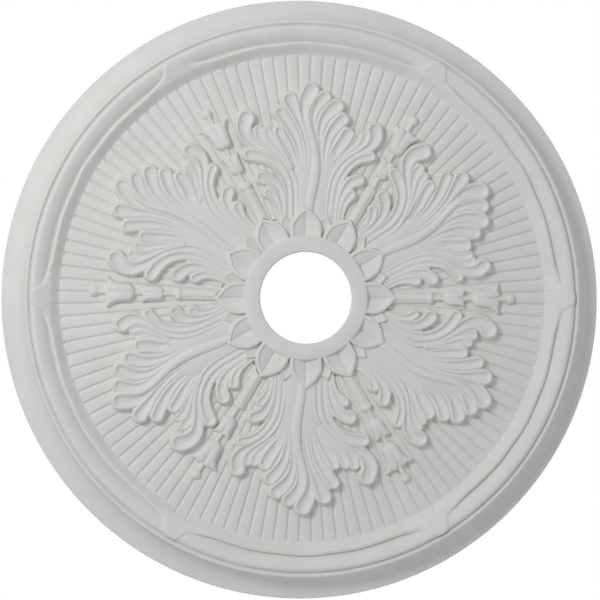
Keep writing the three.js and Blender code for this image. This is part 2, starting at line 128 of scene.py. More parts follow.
class Graph:
    """The node graph of one material, built from Python expressions."""

    def __init__(self, name: str) -> None:
        """Start an empty material.

        Args:
            name: The material's name.
        """
        self.material = bpy.data.materials.new(name)
        self.material.use_nodes = True
        self.tree = self.material.node_tree
        self.tree.nodes.clear()

    def node(
        self,
        kind: str,
        settings: dict[str, object],
        inputs: dict[Union[str, int], object],
        output: Union[str, int] = 0,
    ) -> Wire:
        """Add any node, set it up and feed its sockets.

        Args:
            kind: The node's Blender type.
            settings: The node's own settings; a ramp's stops come under "stops".
            inputs: Values or wires by socket name or number.
            output: The output socket that is handed back.

        Returns:
            The chosen output as a wire.
        """
        made = self.tree.nodes.new(kind)
        for key, value in settings.items():
            if key == "stops":
                for stop, (place, shade) in zip(made.color_ramp.elements, value):
                    stop.position = place
                    stop.color = (*shade, 1.0)
            else:
                setattr(made, key, value)
        for key, value in inputs.items():
            if isinstance(value, Wire):
                self.tree.links.new(value.socket, made.inputs[key])
            else:
                made.inputs[key].default_value = value
        return Wire(self, made.outputs[output])

    def noise(self, scale: float, detail: float) -> Wire:
        """Add a noise texture on the piece's own coordinates.

        Args:
            scale: The texture's scale.
            detail: How many finer layers it has.

        Returns:
            The noise as a wire.
        """
        place = self.node("ShaderNodeTexCoord", {}, {}, "Object")
        return self.node("ShaderNodeTexNoise", {}, {"Vector": place, "Scale": scale, "Detail": detail})

    def surface(self, inputs: dict[Union[str, int], object]) -> bpy.types.Material:
        """Add the surface shader and lead it to the output.

        Args:
            inputs: The shader's values or wires by socket name.

        Returns:
            The finished material.
        """
        shader = self.node("ShaderNodeBsdfPrincipled", {}, inputs)
        output = self.tree.nodes.new("ShaderNodeOutputMaterial")
        self.tree.links.new(shader.socket, output.inputs["Surface"])
        return self.material


@dataclass(frozen=True)
class CastFoamFinish:
    """Factory primer on cast foam: matt off-white with a faint mottling and a fine skin."""

    name: str = "cast_foam"
    light: Colour = (0.811, 0.801, 0.785)
    shade: Colour = (0.775, 0.764, 0.748)
    # Values of the mottling at which the colour is all shade and all light
    mottle_edges: tuple[float, float] = (0.38, 0.64)
    roughness: float = 0.62
    roughness_spread: float = 0.10
    specular: float = 0.35
    mottle_scale: float = 34.0
    grain_scale: float = 900.0
    pit_scale: float = 260.0
    grain_depth: float = 0.00012
    bump_strength: float = 0.35

    def build(self) -> bpy.types.Material:
        """Build the material.

        Returns:
            The finished material.
        """
        graph = Graph(self.name)
        mottle = graph.noise(self.mottle_scale, 4.0)
        grain = graph.noise(self.grain_scale, 3.0)
        pits = graph.noise(self.pit_scale, 2.0)
        stops = tuple(zip(self.mottle_edges, (self.shade, self.light)))
        colour = graph.node("ShaderNodeValToRGB", {"stops": stops}, {"Fac": mottle * 0.7 + pits * 0.3})
        height = grain * 0.6 + pits * 0.4
        relief = {"Height": height, "Strength": self.bump_strength, "Distance": self.grain_depth}
        return graph.surface({
            "Base Color": colour,
            "Roughness": self.roughness + (grain - 0.5) * self.roughness_spread,
            "Normal": graph.node("ShaderNodeBump", {}, relief),
            "Specular IOR Level": self.specular,
        })


@dataclass(frozen=True)
class StudioFloorFinish:
    """Plain pale matt floor."""

    name: str = "studio_floor"
    colour: Colour = (0.80, 0.80, 0.80)
    roughness: float = 0.8
    roughness_spread: float = 0.05
    cloud_scale: float = 1.5

    def build(self) -> bpy.types.Material:
        """Build the material.

        Returns:
            The finished material.
        """
        graph = Graph(self.name)
        roughness = self.roughness + (graph.noise(self.cloud_scale, 2.0) - 0.5) * self.roughness_spread
        return graph.surface({"Base Color": (*self.colour, 1.0), "Roughness": roughness})


# Mesh building


def smooth_line(points: Sequence[Sequence[float]], spacing: float) -> np.ndarray:
    """Run a smooth curve through points and sample it evenly.

    Args:
        points: Points of any number of columns; the first two are a place in the plan.
        spacing: Distance between samples.

    Returns:
        Samples, one row each, with as many columns as the points.
    """
    table = np.asarray(points, float)
    padded = np.vstack([2 * table[0] - table[1], table, 2 * table[-1] - table[-2]])
    rows = []
    for i in range(1, len(padded) - 2):
        before, start, end, after = padded[i - 1 : i + 3]
        steps = max(2, int(np.hypot(*(end - start)[:2]) / spacing))
        t = (np.arange(steps) / steps)[:, None]
        rows.append(
            0.5
            * (
                2 * start
                + (end - before) * t
                + (2 * before - 5 * start + 4 * end - after) * t**2
                + (3 * start - before - 3 * end + after) * t**3
            )
        )
    rows.append(table[-1:])
    return np.vstack(rows)


def smoothstep(share: np.ndarray) -> np.ndarray:
    """Ease a share in and out between 0 and 1."""
    share = np.clip(share, 0.0, 1.0)
    return share * share * (3.0 - 2.0 * share)


def blurred(heights: np.ndarray, spread: float) -> np.ndarray:
    """Soften a grid of heights, as paint and a mould soften a carving.

    Args:
        heights: The grid.
        spread: Standard deviation in cells.

    Returns:
        The softened grid.
    """
    reach = int(math.ceil(spread * 3))
    weights = np.exp(-0.5 * (np.arange(-reach, reach + 1) / spread) ** 2)
    weights /= weights.sum()
    for axis in (0, 1):
        padded = np.pad(heights, [(reach, reach) if a == axis else (0, 0) for a in (0, 1)], mode="edge")
        heights = sum(
            w * np.take(padded, range(k, k + heights.shape[axis]), axis=axis) for k, w in enumerate(weights)
        )
    return heights


def ring_mesh(name: str, rings: np.ndarray) -> bpy.types.Mesh:
    """Make a closed surface from rings that run all the way round, the last joined to the first.

    Args:
        name: The mesh's name.
        rings: Points in millimetres, as rings by points by coordinates.

    Returns:
        The mesh, face up, in metres.
    """
    count, size, _ = rings.shape
    index = np.arange(count * size).reshape(count, size)
    following = np.roll(index, -1, axis=0)
    quads = np.stack(
        [index, np.roll(index, -1, axis=1), np.roll(following, -1, axis=1), following], axis=-1
    ).reshape(-1, 4)
    mesh = bpy.data.meshes.new(name)
    mesh.from_pydata((rings.reshape(-1, 3) * MILLIMETRE).tolist(), [], quads.tolist())
    return mesh


def grid_mesh(
    name: str, xs: np.ndarray, ys: np.ndarray, heights: np.ndarray, keep: np.ndarray
) -> bpy.types.Mesh:
    """Make a surface from a grid of heights.

    Args:
        name: The mesh's name.
        xs: Places across, as a grid.
        ys: Places along, as a grid.
        heights: Heights, as a grid.
        keep: Which cells become faces; one fewer each way than the grid.

    Returns:
        The mesh, face up, in metres, with loose points left out.
    """
    index = np.arange(heights.size).reshape(heights.shape)
    quads = np.stack([index[:-1, :-1], index[:-1, 1:], index[1:, 1:], index[1:, :-1]], axis=-1)[keep]
    used, compact = np.unique(quads, return_inverse=True)
    points = np.stack([xs.ravel(), ys.ravel(), heights.ravel()], axis=-1)[used] * MILLIMETRE
    mesh = bpy.data.meshes.new(name)
    mesh.from_pydata(points.tolist(), [], compact.reshape(-1, 4).tolist())
    return mesh


def wall_down(shape: bmesh.types.BMesh, level: float) -> list[bmesh.types.BMEdge]:
    """Draw a wall down from the border of an open relief.

    Args:
        shape: The relief, face up, in metres.
        level: Height of the wall's foot in millimetres.

    Returns:
        The edges of the wall's foot.
    """
    border = [edge for edge in shape.edges if edge.is_boundary]
    grown = bmesh.ops.extrude_edge_only(shape, edges=border)["geom"]
    for item in grown:
        if isinstance(item, bmesh.types.BMVert):
            item.co.z = level * MILLIMETRE
    return [edge for edge in shape.edges if edge.is_boundary]


def close_below(mesh: bpy.types.Mesh, level: float) -> None:
    """Close an open relief with a wall round its border and a flat underside.

    Args:
        mesh: The relief, face up, in metres.
        level: Height of the underside in millimetres.
    """
    shape = bmesh.new()
    shape.from_mesh(mesh)
    rim = wall_down(shape, level)
    bmesh.ops.triangle_fill(shape, use_beauty=False, use_dissolve=False, edges=rim, normal=(0, 0, -1))
    bmesh.ops.recalc_face_normals(shape, faces=shape.faces)
    shape.to_mesh(mesh)
    shape.free()


def stretched(mesh: bpy.types.Mesh, root: float, share: float) -> bpy.types.Mesh:
    """Copy a mesh and make it longer or shorter away from its root.

    Args:
        mesh: The mesh, face up, with its axis on +Y.
        root: Radius of the root in millimetres, which stays in place.
        share: New length as a share of the old.

    Returns:
        The copy.
    """
    copy = mesh.copy()
    place = Vector((0.0, root * MILLIMETRE, 0.0))
    lengthened = Matrix.Diagonal((1.0, share, 1.0, 1.0))
    copy.transform(Matrix.Translation(place) @ lengthened @ Matrix.Translation(-place))
    return copy


class CircularCopies:
    """A node tree that sets copies of a mesh round the rose's axis."""

    def __init__(self) -> None:
        """Build the tree and its named inputs."""
        tree = bpy.data.node_groups.new("circular_copies", "GeometryNodeTree")

        def socket(name: str, kind: str, side: str = "INPUT") -> str:
            """Add one named socket to the tree and hand back its identifier."""
            made = tree.interface.new_socket(name, in_out=side, socket_type="NodeSocket" + kind)
            return made.identifier

        socket("Geometry", "Geometry")
        self.count = socket("Copies", "Int")
        self.first = socket("First Angle", "Float")
        self.pitch = socket("Pitch Angle", "Float")
        self.finish = socket("Finish", "Material")
        socket("Geometry", "Geometry", "OUTPUT")
        add = tree.nodes.new
        link = tree.links.new
        given = add("NodeGroupInput")
        points = add("GeometryNodePoints")
        number = add("GeometryNodeInputIndex")
        turn = add("ShaderNodeMath")
        turn.operation = "MULTIPLY_ADD"
        angles = add("ShaderNodeCombineXYZ")
        rotation = add("FunctionNodeEulerToRotation")
        copies = add("GeometryNodeInstanceOnPoints")
        real = add("GeometryNodeRealizeInstances")
        welded = add("GeometryNodeMergeByDistance")
        welded.inputs["Distance"].default_value = PATTERN_WELD
        dressed = add("GeometryNodeSetMaterial")
        result = add("NodeGroupOutput")
        link(given.outputs["Copies"], points.inputs["Count"])
        link(number.outputs["Index"], turn.inputs[0])
        link(given.outputs["Pitch Angle"], turn.inputs[1])
        link(given.outputs["First Angle"], turn.inputs[2])
        link(turn.outputs["Value"], angles.inputs["Z"])
        link(angles.outputs["Vector"], rotation.inputs["Euler"])
        link(points.outputs["Points"], copies.inputs["Points"])
        link(given.outputs["Geometry"], copies.inputs["Instance"])
        link(rotation.outputs["Rotation"], copies.inputs["Rotation"])
        link(copies.outputs["Instances"], real.inputs["Geometry"])
        link(real.outputs["Geometry"], welded.inputs["Geometry"])
        link(welded.outputs["Geometry"], dressed.inputs["Geometry"])
        link(given.outputs["Finish"], dressed.inputs["Material"])
        link(dressed.outputs["Geometry"], result.inputs["Geometry"])
        self.tree = tree

    def spread(
        self, mesh: bpy.types.Mesh, copies: int, first: float, pitch: float, finish: bpy.types.Material
    ) -> bpy.types.Mesh:
        """Set copies of a mesh round the axis.

        Args:
            mesh: The mesh, face up, drawn with its own axis on +Y.
            copies: How many copies.
            first: Angle of the first copy's axis in degrees, counted from +X.
            pitch: Angle between copies in degrees.
            finish: The material.

        Returns:
            A plain mesh of all the copies.
        """
        carrier = bpy.data.objects.new(mesh.name + "_pattern", mesh)
        bpy.context.scene.collection.objects.link(carrier)
        modifier = carrier.modifiers.new("copies", "NODES")
        modifier.node_group = self.tree
        modifier[self.count] = copies
        modifier[self.first] = math.radians(first - 90.0)
        modifier[self.pitch] = math.radians(pitch)
        modifier[self.finish] = finish
        depsgraph = bpy.context.evaluated_depsgraph_get()
        result = bpy.data.meshes.new_from_object(carrier.evaluated_get(depsgraph), depsgraph=depsgraph)
        carrier.modifiers.clear()
        bpy.data.objects.remove(carrier)
        return result


def hang(
    name: str, mesh: bpy.types.Mesh, finish: bpy.types.Material, crease: float = 50.0
) -> bpy.types.Object:
    """Turn a face-up mesh over, dress it and fix it to the rose.

    Args:
        name: The piece's name.
        mesh: The face-up mesh in metres.
        finish: The material.
        crease: Angle in degrees above which an edge stays sharp.

    Returns:
        The finished piece.
    """
    shape = bmesh.new()
    shape.from_mesh(mesh)
    bmesh.ops.transform(shape, matrix=Matrix.Rotation(math.pi, 4, "X"), verts=shape.verts)
    bmesh.ops.remove_doubles(shape, verts=shape.verts, dist=PIECE_WELD)
    bmesh.ops.recalc_face_normals(shape, faces=shape.faces)
    limit = math.radians(crease)
    for edge in shape.edges:
        edge.smooth = not edge.is_manifold or edge.calc_face_angle(0.0) < limit
    for face in shape.faces:
        face.smooth = True
    shape.to_mesh(mesh)
    shape.free()
    mesh.name = name
    mesh.materials.clear()
    mesh.materials.append(finish)
    piece = bpy.data.objects.new(name, mesh)
    bpy.context.scene.collection.objects.link(piece)
    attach(piece, "root")
    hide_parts("ceiling_rose")
    log.info("%s: %d faces", name, len(mesh.polygons))
    return piece


def ring_points(radius: np.ndarray, height: np.ndarray, angle: np.ndarray) -> np.ndarray:
    """Points at radii and heights round the axis.

    Args:
        radius: Radius at each angle.
        height: Height at each angle.
        angle: Angles in radians.

    Returns:
        One row of coordinates for each angle.
    """
    radius = np.broadcast_to(radius, angle.shape)
    height = np.broadcast_to(height, angle.shape)
    return np.stack([radius * np.cos(angle), radius * np.sin(angle), height], axis=-1)


# Sub-assemblies


@dataclass
class TurnedBody:
    """The plain round body: back, edge, cove, fillet, roll, sunk field and collar."""

    columns: int = 480
    crease: float = 40.0
    edge_height: float = 4.0
    edge_bevel: float = 0.6
    edge_inset: float = 0.3
    cove_inset: float = 1.0
    cove_width: float = 26.5
    cove_top: float = 30.5
    cove_steps: int = 14
    floor: float = 14.0
    back_radii: tuple[float, ...] = (120.0, 200.0, 280.0)
    floor_radii: tuple[float, ...] = (240.0, 190.0, 140.0, 100.0)
    inner_spacing: float = 0.9
    inner_profile: tuple[Point, ...] = (
        (314.6, 30.9), (313.6, 31.3), (312.4, 31.2), (311.4, 30.6), (310.7, 29.4), (310.2, 28.6),
        (309.6, 29.0), (309.0, 30.6), (308.2, 32.2), (306.8, 33.2), (304.8, 33.5), (302.4, 32.9),
        (299.6, 31.6), (296.8, 29.9), (294.2, 27.6),
        (292.2, 25.4), (290.0, 24.0), (286.0, 23.4), (280.0, 18.0), (276.0, 14.0),
    )
    collar_profile: tuple[Point, ...] = (
        (72.0, 14.0), (71.2, 22.0), (70.6, 24.6), (69.8, 25.6), (68.6, 26.0), (54.2, 26.0),
        (53.0, 25.6), (52.2, 24.7), (52.0, 23.4),
    )

    def profile(self) -> np.ndarray:
        """Round the whole section once.

        Returns:
            Radii and heights from the back's inner edge outwards and back to the hole.
        """
        turn = np.linspace(0.0, math.pi / 2, self.cove_steps)
        radii = OUTER_RADIUS - self.cove_inset - self.cove_width * np.sin(turn)
        rise = self.cove_top - self.edge_height - self.edge_inset
        heights = self.edge_height + self.edge_inset + rise * (1.0 - np.cos(turn))
        cove = np.stack([radii, heights], axis=-1)
        back = [(radius, 0.0) for radius in (HOLE_RADIUS + HOLE_FLARE, *self.back_radii, OUTER_RADIUS)]
        edge = [
            (OUTER_RADIUS, self.edge_height - self.edge_bevel),
            (OUTER_RADIUS - self.edge_inset, self.edge_height),
        ]
        inner = smooth_line(self.inner_profile, self.inner_spacing)
        floor = [(radius, self.floor) for radius in self.floor_radii]
        return np.vstack([back, edge, cove, inner, floor, self.collar_profile])

    def build(self, finish: bpy.types.Material) -> bpy.types.Object:
        """Turn the profile round the axis.

        Args:
            finish: The material.

        Returns:
            The body piece.
        """
        angle = np.arange(self.columns) / self.columns * 2 * math.pi
        rings = np.stack([ring_points(r, h, angle) for r, h in self.profile()])
        return hang("turned_body", ring_mesh("turned_body", rings), finish, self.crease)


@dataclass
class CuspedRibbon:
    """The rolled ribbon round the field, drawn out into a cusp over every drop."""

    columns: int = 1440
    crease: float = 60.0
    field_radius: float = 276.0
    crest_height: float = 28.0
    cusp_height: float = 34.9
    crest_width: float = 3.4
    crest_rings: int = 7
    shoulder_radius: float = 288.4
    shoulder_drop: float = 0.2
    # Degrees from a cusp's axis and radius of the outer edge
    outline: tuple[Point, ...] = (
        (0.0, 309.0), (0.7, 308.8), (1.3, 308.0), (2.05, 304.4), (2.9, 298.6), (4.1, 294.6),
        (6.9, 291.0), (9.6, 289.6), (14.0, 289.8), (19.0, 290.6), (23.5, 290.2), (27.0, 290.8), (30.0, 291.6),
    )
    outline_spacing: float = 0.05
    # Radii of the outer edge between which the crest climbs to a cusp's height
    climb: tuple[float, float] = (291.6, 309.0)
    foot_height: float = 12.0
    foot_inset: float = 3.0
    wall_height: float = 20.0
    wall_outset: float = 0.5
    # The rounded outer edge: distance out from the outline, and drop below the crest
    roll: tuple[Point, ...] = (
        (0.35, 3.6), (0.2, 2.0), (0.0, 1.0), (-0.5, 0.35), (-1.2, 0.05), (-2.4, 0.0),
    )
    slope_rings: int = 14
    slope_foot: float = REED_LEVEL - 0.8
    # How much of the slope is eased, and how much is straight
    slope_shares: tuple[float, float] = (0.55, 0.45)
    groove_angle: float = 1.5
    groove_depth: float = 1.5
    groove_width: float = 1.0
    groove_onset: float = 1.6

    def edge_at(self, angle: np.ndarray) -> np.ndarray:
        """Radius of the ribbon's outer edge.

        Args:
            angle: Angles in radians.

        Returns:
            The radius at each angle.
        """
        sector = 360.0 / SECTORS
        folded = np.degrees(angle) % sector
        folded = np.minimum(folded, sector - folded)
        half = list(self.outline)
        mirrored = [(-a, r) for a, r in half[1:3]][::-1]
        beyond = [(sector - a, r) for a, r in half[-2:-3:-1]]
        line = smooth_line(mirrored + half + beyond, self.outline_spacing)
        order = np.argsort(line[:, 0])
        return np.interp(folded, line[order, 0], line[order, 1])

    def build(self, finish: bpy.types.Material) -> bpy.types.Object:
        """Lay the ribbon's section round its outline.

        Args:
            finish: The material.

        Returns:
            The ribbon piece.
        """
        angle = np.arange(self.columns) / self.columns * 2 * math.pi
        edge = self.edge_at(angle)
        low, high = self.climb
        reach = smoothstep((edge - low) / (high - low))
        crest = self.crest_height + (self.cusp_height - self.crest_height) * reach
        inner_edge = edge - self.crest_width
        shoulder = np.minimum(inner_edge, self.shoulder_radius)
        rings = [
            ring_points(self.field_radius, self.foot_height, angle),
            ring_points(edge - self.foot_inset, self.foot_height, angle),
            ring_points(edge + self.wall_outset, self.wall_height, angle),
        ]
        for outwards, drop in self.roll:
            rings.append(ring_points(edge + outwards, crest - drop, angle))
        base = self.crest_height - self.shoulder_drop
        for share in np.linspace(0.0, 1.0, self.crest_rings)[1:]:
            radius = inner_edge * (1 - share) + shoulder * share
            height = crest + (np.minimum(base, crest) - crest) * share**1.2
            rings.append(ring_points(radius, height, angle))
        sector = 2 * math.pi / SECTORS
        from_axis = np.abs((angle + sector / 2) % sector - sector / 2)
        eased_share, straight_share = self.slope_shares
        for share in np.linspace(0.0, 1.0, self.slope_rings)[1:]:
            radius = shoulder * (1 - share) + self.field_radius * share
            eased = 0.5 * (1 - math.cos(math.pi * share**0.9))
            height = base + (self.slope_foot - base) * (eased_share * eased + straight_share * share)
            across = (from_axis - math.radians(self.groove_angle)) * radius
            groove = self.groove_depth * np.exp(-((across / self.groove_width) ** 2))
            height = height - groove * smoothstep(np.asarray(share * self.groove_onset))
            rings.append(ring_points(radius, height, angle))
        mesh = ring_mesh("cusped_ribbon", np.stack(rings))
        return hang("cusped_ribbon", mesh, finish, self.crease)


@dataclass
class ReededField:
    """The sunk field of reeds, one drawn and the rest set round by the copying tree."""

    reeds: int = 120
    crown: float = 0.45
    depth: float = 1.9
    groove_width: float = 1.15
    groove_end: float = 277.0
    # Radii over which the grooves deepen, and their least and added shares of the full depth
    deepening: tuple[float, float] = (110.0, 200.0)
    depth_shares: tuple[float, float] = (0.45, 0.55)
    # Radii over which the crowns flatten out
    fading: tuple[float, float] = (268.0, 280.0)
    across: int = 16
    # Rings of a reed, wide apart and then close together: first radius, last radius and number
    rings: tuple[tuple[float, float, int], ...] = ((96.0, 262.0, 14), (266.0, 280.5, 12))
    crease: float = 80.0

    def one(self) -> bpy.types.Mesh:
        """Draw one reed as an open slice of the field.

        Returns:
            The mesh, face up, with its axis on +Y.
        """
        half = math.pi / self.reeds
        spread = np.linspace(-1.0, 1.0, self.across + 1)
        spread = np.sign(spread) * np.abs(spread) ** 0.75
        runs = np.concatenate([np.linspace(*run) for run in self.rings])
        radius, share = np.meshgrid(runs, spread, indexing="ij")
        sideways = (1.0 - np.abs(share)) * half * radius
        beyond = np.maximum(0.0, radius - self.groove_end)
        groove = self.depth * np.exp(-((sideways**2 + beyond**2) / self.groove_width**2))
        least, added = self.depth_shares
        start, end = self.deepening
        groove *= least + added * smoothstep((radius - start) / (end - start))
        start, end = self.fading
        fade = 1.0 - smoothstep((radius - start) / (end - start))
        height = REED_LEVEL - self.crown * share**2 * fade - groove
        angle = math.pi / 2 - share * half
        xs, ys = radius * np.cos(angle), radius * np.sin(angle)
        keep = np.ones((runs.size - 1, spread.size - 1), bool)
        return grid_mesh("reed", xs, ys, height, keep)

    def build(self, copies: CircularCopies, finish: bpy.types.Material) -> bpy.types.Object:
        """Set the reeds round the field and close them below.

        Args:
            copies: The copying tree.
            finish: The material.

        Returns:
            The reeded piece.
        """
        pitch = 360.0 / self.reeds
        mesh = copies.spread(self.one(), self.reeds, 0.0, pitch, finish)
        shape = bmesh.new()
        shape.from_mesh(mesh)
        bmesh.ops.remove_doubles(shape, verts=shape.verts, dist=PATTERN_WELD)
        bmesh.ops.bridge_loops(shape, edges=wall_down(shape, BURIED_LEVEL))
        shape.to_mesh(mesh)
        shape.free()
        return hang("reeded_field", mesh, finish, self.crease)


@dataclass
class PetalCollar:
    """Twelve bordered petals round the collar, with the tips of sepals between them."""

    petals: int = 12
    foot: float = 67.5
    tip: float = 103.2
    # Radius and half width of a petal's outline
    outline: tuple[Point, ...] = (
        (67.0, 17.2), (72.0, 17.9), (77.0, 18.0), (82.0, 17.6), (86.0, 16.4), (90.0, 14.2),
        (93.5, 11.4), (96.5, 8.4), (99.5, 5.0), (101.8, 2.2), (103.2, 0.25),
    )
    border: float = 3.6
    top: float = 25.4
    droop: float = 1.3
    step: float = 1.5
    step_width: float = 0.9
    hollow: float = 3.2
    hollow_width: float = 12.5
    edge_round: float = 1.3
    edge_drop: float = 0.9
    crease_depth: float = 0.8
    crease_width: float = 0.9
    rows: int = 48
    # Places across half a petal: 0 its middle, 1 the foot of the step, 2 its top, 3 the petal's edge
    places: tuple[float, ...] = (
        0, 0.04, 0.09, 0.16, 0.28, 0.42, 0.56, 0.7, 0.84, 1, 1.25, 1.5, 1.75, 2, 2.25, 2.5, 2.75, 3, 3.5, 4,
    )
    skirt: float = 1.6
    sepal_edge: float = 96.2
    sepal_half: float = 6.8
    sepal_point: float = 14.0
    sepal_foot: float = 72.0
    sepal_level: float = 17.6
    sepal_rise: float = 4.2
    sepal_lip: float = 0.8
    sepal_ridge: float = 0.8
    sepal_ridge_width: float = 0.2
    sepal_fall: float = 2.4
    sepal_columns: int = 21
    # Rings of a sepal, wide apart and then close together: first radius, last radius and number
    sepal_rings: tuple[tuple[float, float, int], ...] = ((70.0, 85.0, 8), (85.7, 98.3, 24))

    def half_at(self, radii: np.ndarray) -> np.ndarray:
        """Half width of a petal at radii, and nothing beyond its tip."""
        line = smooth_line(self.outline, 0.4)
        return np.interp(radii, line[:, 0], line[:, 1], right=-1.0)

    def covers(self, xs: np.ndarray, ys: np.ndarray, margin: float = 1.2) -> np.ndarray:
        """How far places lie under the petals.

        Args:
            xs: Places across, as a grid, with a petal's axis on +Y.
            ys: Places along, as a grid.
            margin: Distance in from a petal's edge at which the cover starts, in millimetres.

        Returns:
            0 in the open and 1 under a petal, eased over a millimetre.
        """
        radii = np.hypot(xs, ys)
        pitch = 2 * math.pi / self.petals
        off_axis = (np.arctan2(xs, ys) + pitch / 2) % pitch - pitch / 2
        return smoothstep(self.half_at(radii) - margin - np.abs(off_axis) * radii)

    def petal(self) -> bpy.types.Mesh:
        """Draw one petal.

        Returns:
            The mesh, face up, with its axis on +Y.
        """
        share = np.linspace(0.0, 1.0, self.rows) ** 0.8
        radii = self.foot + (self.tip - self.foot) * share
        half = np.maximum(self.half_at(radii), self.outline[-1][1])
        slope = np.gradient(half, radii)
        lean = 1.0 / np.sqrt(1.0 + slope**2)
        marks = np.array(self.places, float)
        across = np.concatenate([-marks[:0:-1], marks])
        radius, column = np.meshgrid(radii, across, indexing="ij")
        width, lean = half[:, None], lean[:, None]
        step_top = np.maximum(width - self.border / lean, 0.02 * width)
        step_foot = np.maximum(step_top - self.step_width / lean, 0.5 * step_top)
        place = np.abs(column)
        inside = (
            np.clip(place, 0.0, 1.0) * step_foot
            + np.clip(place - 1.0, 0.0, 1.0) * (step_top - step_foot)
            + np.clip(place - 2.0, 0.0, 1.0) * (width - step_top)
        )
        reach = np.clip(step_top - inside, 0.0, None)
        bowl = self.step * smoothstep(reach * lean / self.step_width)
        bowl += self.hollow * (reach / self.hollow_width) ** 1.3
        shown = np.clip(step_foot / 3.0, 0.0, 1.0)
        bowl += self.crease_depth * shown * np.exp(-((inside / self.crease_width) ** 2))
        crown = np.clip(1.0 - (width - inside) * lean / self.edge_round, 0.0, 1.0) ** 2
        top = self.top - self.droop * (radius - self.foot) / (self.tip - self.foot)
        height = top - self.edge_drop * crown - bowl
        outside = np.clip(place - 3.0, 0.0, 1.0)
        height = height * (1 - outside) + BURIED_LEVEL * outside
        xs = np.sign(column) * (inside + outside * self.skirt)
        keep = np.ones((radii.size - 1, across.size - 1), bool)
        mesh = grid_mesh("petal", xs, radius, height, keep)
        close_below(mesh, BURIED_LEVEL)
        return mesh

    def sepal(self) -> bpy.types.Mesh:
        """Draw the tip of one sepal.

        Returns:
            The mesh, face up, with its axis on +Y.
        """
        turns = np.linspace(-1.0, 1.0, self.sepal_columns)
        steps = np.concatenate([np.linspace(*run) for run in self.sepal_rings])
        radius, share = np.meshgrid(steps, turns, indexing="ij")
        edge = self.sepal_edge - self.sepal_point * np.abs(share) ** 1.15
        beyond = radius - edge
        slope = np.clip((radius - self.sepal_foot) / (edge - 2.2 - self.sepal_foot), 0.0, 1.0)
        lip = self.sepal_lip * smoothstep((beyond + 2.6) / 1.1)
        ridge = self.sepal_ridge * np.exp(-((share / self.sepal_ridge_width) ** 2))
        inside = self.sepal_level + self.sepal_rise * slope**1.6 + lip + ridge
        height = np.where(beyond < 0.0, inside, inside - self.sepal_fall * beyond)
        height = np.maximum(height, BURIED_LEVEL)
        angle = math.pi / 2 - share * math.radians(self.sepal_half)
        keep = np.ones((steps.size - 1, turns.size - 1), bool)
        mesh = grid_mesh("sepal", radius * np.cos(angle), radius * np.sin(angle), height, keep)
        close_below(mesh, BURIED_LEVEL - 0.5)
        return mesh

    def build(self, copies: CircularCopies, finish: bpy.types.Material) -> list[bpy.types.Object]:
        """Set the petals and sepals round the collar.

        Args:
            copies: The copying tree.
            finish: The material.

        Returns:
            The two pieces.
        """
        pitch = 360.0 / self.petals
        petals = copies.spread(self.petal(), self.petals, 0.0, pitch, finish)
        sepals = copies.spread(self.sepal(), self.petals, pitch / 2, pitch, finish)
        return [hang("collar_petals", petals, finish), hang("collar_sepals", sepals, finish)]


@dataclass
class CarvedStroke:
    """One stroke of a carving: a finger of a leaf, a husk's lobe, a stem or a ball.

    Each station gives the place of the middle, the half width and the height of the edge.
    """

    stations: tuple[Station, ...]
    cut: Stroke = Stroke.SPOON
    hollow: float = 2.4
    border: float = 1.9
    border_share: float = 0.36
    border_drop: float = 0.9
    fall: float = 3.6
    wall_reach: float = 8.0
    search_margin: float = 9.0
    spacing: float = 0.6
    # Half width at which a hollow begins, and how much wider it is at full depth
    hollow_start: float = 1.8
    hollow_growth: float = 4.2
    hollow_least: float = 0.08
    hollow_gain: float = 1.45
    hollow_power: float = 2.6

    def border_at(self, half: np.ndarray) -> np.ndarray:
        """Width of the border of a hollow stroke at a half width."""
        return np.minimum(self.border, half * self.border_share)

    def nearest(self, xs: np.ndarray, ys: np.ndarray) -> tuple[np.ndarray, np.ndarray, np.ndarray]:
        """Find the nearest part of the stroke over a grid.

        Args:
            xs: Places across, as a grid.
            ys: Places along, as a grid.

        Returns:
            Distance in from the stroke's edge, and its half width and level at the nearest part.
        """
        line = smooth_line(self.stations, self.spacing)
        reach = line[:, 2].max() + self.search_margin
        low, high = line[:, :2].min(axis=0) - reach, line[:, :2].max(axis=0) + reach
        near = (xs > low[0]) & (xs < high[0]) & (ys > low[1]) & (ys < high[1])
        px, py = xs[near], ys[near]
        best = np.full(px.shape, -1e3)
        which = np.zeros(px.shape, int)
        for number, (cx, cy, half, _) in enumerate(line):
            inside = half - np.hypot(px - cx, py - cy)
            closer = inside > best
            best[closer] = inside[closer]
            which[closer] = number
        found = np.full((3, *xs.shape), -1e3)
        found[:, near] = best, line[which, 2], line[which, 3]
        return found[0], found[1], found[2]

    def section(self, inside: np.ndarray, half: np.ndarray) -> np.ndarray:
        """Cross-section of the stroke.

        Args:
            inside: Distance in from the edge, negative outside it.
            half: Half width there.

        Returns:
            Height above the edge's own level.
        """
        wall = np.minimum(inside, 0.0) * self.fall
        if self.cut is Stroke.RIB:
            share = np.clip(1.0 - inside / half, 0.0, 1.0)
            return wall - self.hollow * share**self.hollow_power
        border = self.border_at(half)
        crown = self.border_drop * np.clip(1.0 - inside / np.maximum(border * 0.8, 0.2), 0.0, 1.0) ** 2
        inner = np.maximum(half - border, 0.2)
        into = np.clip((inside - border) / inner, 0.0, 1.0)
        growth = np.clip((half - self.hollow_start) / self.hollow_growth, self.hollow_least, 1.0)
        depth = self.hollow_gain * self.hollow * growth
        return wall - crown - depth * (1.0 - (1.0 - into) ** self.hollow_power)


